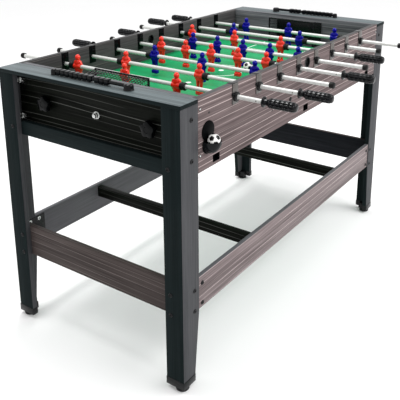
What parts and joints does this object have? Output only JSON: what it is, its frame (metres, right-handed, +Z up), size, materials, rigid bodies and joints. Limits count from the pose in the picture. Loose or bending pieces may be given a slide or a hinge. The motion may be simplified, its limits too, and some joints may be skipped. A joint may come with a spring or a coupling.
{
  "type": "multi game table",
  "caption": "Multi game table: a foosball cabinet with a pool bed beneath it turns over between the end frames of a four-legged stand.",
  "frame": {"origin": "on the floor, under the middle of the table", "axes": "+X along the table from the near end to the far end, +Y across it from the front long side to the back, +Z up"},
  "size_m": [1.22, 1.046, 0.762],
  "materials": {
    "grey_board": "grey woodgrain laminate, satin",
    "driftwood_board": "brown-grey driftwood laminate with thin pale stripes, satin",
    "black_board": "black woodgrain laminate, satin",
    "field_board": "green printed board with white field lines, satin",
    "pool_cloth": "green felt over board and cushions",
    "black_plastic": "moulded, fine texture",
    "gloss_black_plastic": "moulded, gloss",
    "chromed_rod": "bright rod with moulded plastic players, bumpers and cap",
    "rubber_grip": "moulded grip, matt"
  },
  "bodies": {
    "stand": {"leg_near_front": "grey_board", "leg_near_back": "grey_board", "leg_far_front": "grey_board", "leg_far_back": "grey_board", "top_board_near": "grey_board", "end_panel_near": "black_board", "end_rail_near": "black_board", "end_stretcher_near": "driftwood_board", "cross_bar_near": "black_board", "top_board_far": "grey_board", "end_panel_far": "black_board", "end_rail_far": "black_board", "end_stretcher_far": "driftwood_board", "cross_bar_far": "black_board", "long_stretcher_front": "driftwood_board", "long_stretcher_back": "driftwood_board"},
    "cabinet": {"cabinet_side_wall_front": "driftwood_board", "cabinet_side_wall_back": "driftwood_board", "cabinet_end_wall_near": "grey_board", "cabinet_end_wall_far": "grey_board", "foosball_field": "field_board", "pool_bed": "pool_cloth", "goal_near": "black_plastic", "goal_far": "black_plastic", "ball_return_front": "gloss_black_plastic", "ball_return_back": "gloss_black_plastic"},
    "leveler_near_front": {"leveler_near_front": "black_plastic"},
    "leveler_near_back": {"leveler_near_back": "black_plastic"},
    "leveler_far_front": {"leveler_far_front": "black_plastic"},
    "leveler_far_back": {"leveler_far_back": "black_plastic"},
    "lock_knob_near_front": {"lock_knob_near_front": "black_plastic"},
    "lock_knob_near_back": {"lock_knob_near_back": "black_plastic"},
    "lock_knob_far_front": {"lock_knob_far_front": "black_plastic"},
    "lock_knob_far_back": {"lock_knob_far_back": "black_plastic"},
    "score_beads_near": {"score_beads_near": "black_plastic"},
    "score_beads_far": {"score_beads_far": "black_plastic"},
    "rod_1_bearing": {"rod_1_sleeve": "black_plastic"},
    "rod_1": {"rod_1_with_players": "chromed_rod", "rod_1_handle": "rubber_grip"},
    "rod_2_bearing": {"rod_2_sleeve": "black_plastic"},
    "rod_2": {"rod_2_with_players": "chromed_rod", "rod_2_handle": "rubber_grip"},
    "rod_3_bearing": {"rod_3_sleeve": "black_plastic"},
    "rod_3": {"rod_3_with_players": "chromed_rod", "rod_3_handle": "rubber_grip"},
    "rod_4_bearing": {"rod_4_sleeve": "black_plastic"},
    "rod_4": {"rod_4_with_players": "chromed_rod", "rod_4_handle": "rubber_grip"},
    "rod_5_bearing": {"rod_5_sleeve": "black_plastic"},
    "rod_5": {"rod_5_with_players": "chromed_rod", "rod_5_handle": "rubber_grip"},
    "rod_6_bearing": {"rod_6_sleeve": "black_plastic"},
    "rod_6": {"rod_6_with_players": "chromed_rod", "rod_6_handle": "rubber_grip"},
    "rod_7_bearing": {"rod_7_sleeve": "black_plastic"},
    "rod_7": {"rod_7_with_players": "chromed_rod", "rod_7_handle": "rubber_grip"},
    "rod_8_bearing": {"rod_8_sleeve": "black_plastic"},
    "rod_8": {"rod_8_with_players": "chromed_rod", "rod_8_handle": "rubber_grip"}
  },
  "joints": [
    {"name": "cabinet_turn", "type": "hinge", "parent": "stand", "child": "cabinet", "pos_m": [0, 0, 0.65475], "axis": [1, 0, 0], "range_deg": [-52, 52]},
    {"name": "leveler_near_front_screw", "type": "hinge", "parent": "stand", "child": "leveler_near_front", "pos_m": [-0.5895, -0.2795, 0], "axis": [0, 0, 1], "continuous": true},
    {"name": "leveler_near_back_screw", "type": "hinge", "parent": "stand", "child": "leveler_near_back", "pos_m": [-0.5895, 0.2795, 0], "axis": [0, 0, 1], "continuous": true},
    {"name": "leveler_far_front_screw", "type": "hinge", "parent": "stand", "child": "leveler_far_front", "pos_m": [0.5895, -0.2795, 0], "axis": [0, 0, 1], "continuous": true},
    {"name": "leveler_far_back_screw", "type": "hinge", "parent": "stand", "child": "leveler_far_back", "pos_m": [0.5895, 0.2795, 0], "axis": [0, 0, 1], "continuous": true},
    {"name": "lock_knob_near_front_turn", "type": "hinge", "parent": "stand", "child": "lock_knob_near_front", "pos_m": [-0.5575, -0.176, 0.65475], "axis": [1, 0, 0], "continuous": true},
    {"name": "lock_knob_near_back_turn", "type": "hinge", "parent": "stand", "child": "lock_knob_near_back", "pos_m": [-0.5575, 0.176, 0.65475], "axis": [1, 0, 0], "continuous": true},
    {"name": "lock_knob_far_front_turn", "type": "hinge", "parent": "stand", "child": "lock_knob_far_front", "pos_m": [0.5575, -0.176, 0.65475], "axis": [1, 0, 0], "continuous": true},
    {"name": "lock_knob_far_back_turn", "type": "hinge", "parent": "stand", "child": "lock_knob_far_back", "pos_m": [0.5575, 0.176, 0.65475], "axis": [1, 0, 0], "continuous": true},
    {"name": "score_beads_near_slide", "type": "slide", "parent": "stand", "child": "score_beads_near", "axis": [0, 1, 0], "range_m": [-0.045, 0]},
    {"name": "score_beads_far_slide", "type": "slide", "parent": "stand", "child": "score_beads_far", "axis": [0, 1, 0], "range_m": [0, 0.045]},
    {"name": "rod_1_spin", "type": "hinge", "parent": "cabinet", "child": "rod_1_bearing", "pos_m": [-0.3885, 0, 0.712], "axis": [0, 1, 0], "continuous": true},
    {"name": "rod_1_slide", "type": "slide", "parent": "rod_1_bearing", "child": "rod_1", "axis": [0, 1, 0], "range_m": [-0.1291, 0.0184]},
    {"name": "rod_2_spin", "type": "hinge", "parent": "cabinet", "child": "rod_2_bearing", "pos_m": [-0.2775, 0, 0.712], "axis": [0, 1, 0], "continuous": true},
    {"name": "rod_2_slide", "type": "slide", "parent": "rod_2_bearing", "child": "rod_2", "axis": [0, 1, 0], "range_m": [-0.1115, 0.0775]},
    {"name": "rod_3_spin", "type": "hinge", "parent": "cabinet", "child": "rod_3_bearing", "pos_m": [-0.1665, 0, 0.712], "axis": [0, 1, 0], "continuous": true},
    {"name": "rod_3_slide", "type": "slide", "parent": "rod_3_bearing", "child": "rod_3", "axis": [0, 1, 0], "range_m": [-0.0288, 0.1187]},
    {"name": "rod_4_spin", "type": "hinge", "parent": "cabinet", "child": "rod_4_bearing", "pos_m": [-0.0555, 0, 0.712], "axis": [0, 1, 0], "continuous": true},
    {"name": "rod_4_slide", "type": "slide", "parent": "rod_4_bearing", "child": "rod_4", "axis": [0, 1, 0], "range_m": [-0.0562, 0.0562]},
    {"name": "rod_5_spin", "type": "hinge", "parent": "cabinet", "child": "rod_5_bearing", "pos_m": [0.0555, 0, 0.712], "axis": [0, 1, 0], "continuous": true},
    {"name": "rod_5_slide", "type": "slide", "parent": "rod_5_bearing", "child": "rod_5", "axis": [0, 1, 0], "range_m": [-0.0107, 0.1018]},
    {"name": "rod_6_spin", "type": "hinge", "parent": "cabinet", "child": "rod_6_bearing", "pos_m": [0.1665, 0, 0.712], "axis": [0, 1, 0], "continuous": true},
    {"name": "rod_6_slide", "type": "slide", "parent": "rod_6_bearing", "child": "rod_6", "axis": [0, 1, 0], "range_m": [-0.1305, 0.017]},
    {"name": "rod_7_spin", "type": "hinge", "parent": "cabinet", "child": "rod_7_bearing", "pos_m": [0.2775, 0, 0.712], "axis": [0, 1, 0], "continuous": true},
    {"name": "rod_7_slide", "type": "slide", "parent": "rod_7_bearing", "child": "rod_7", "axis": [0, 1, 0], "range_m": [-0.0945, 0.0945]},
    {"name": "rod_8_spin", "type": "hinge", "parent": "cabinet", "child": "rod_8_bearing", "pos_m": [0.3885, 0, 0.712], "axis": [0, 1, 0], "continuous": true},
    {"name": "rod_8_slide", "type": "slide", "parent": "rod_8_bearing", "child": "rod_8", "axis": [0, 1, 0], "range_m": [-0.0435, 0.104]}
  ]
}
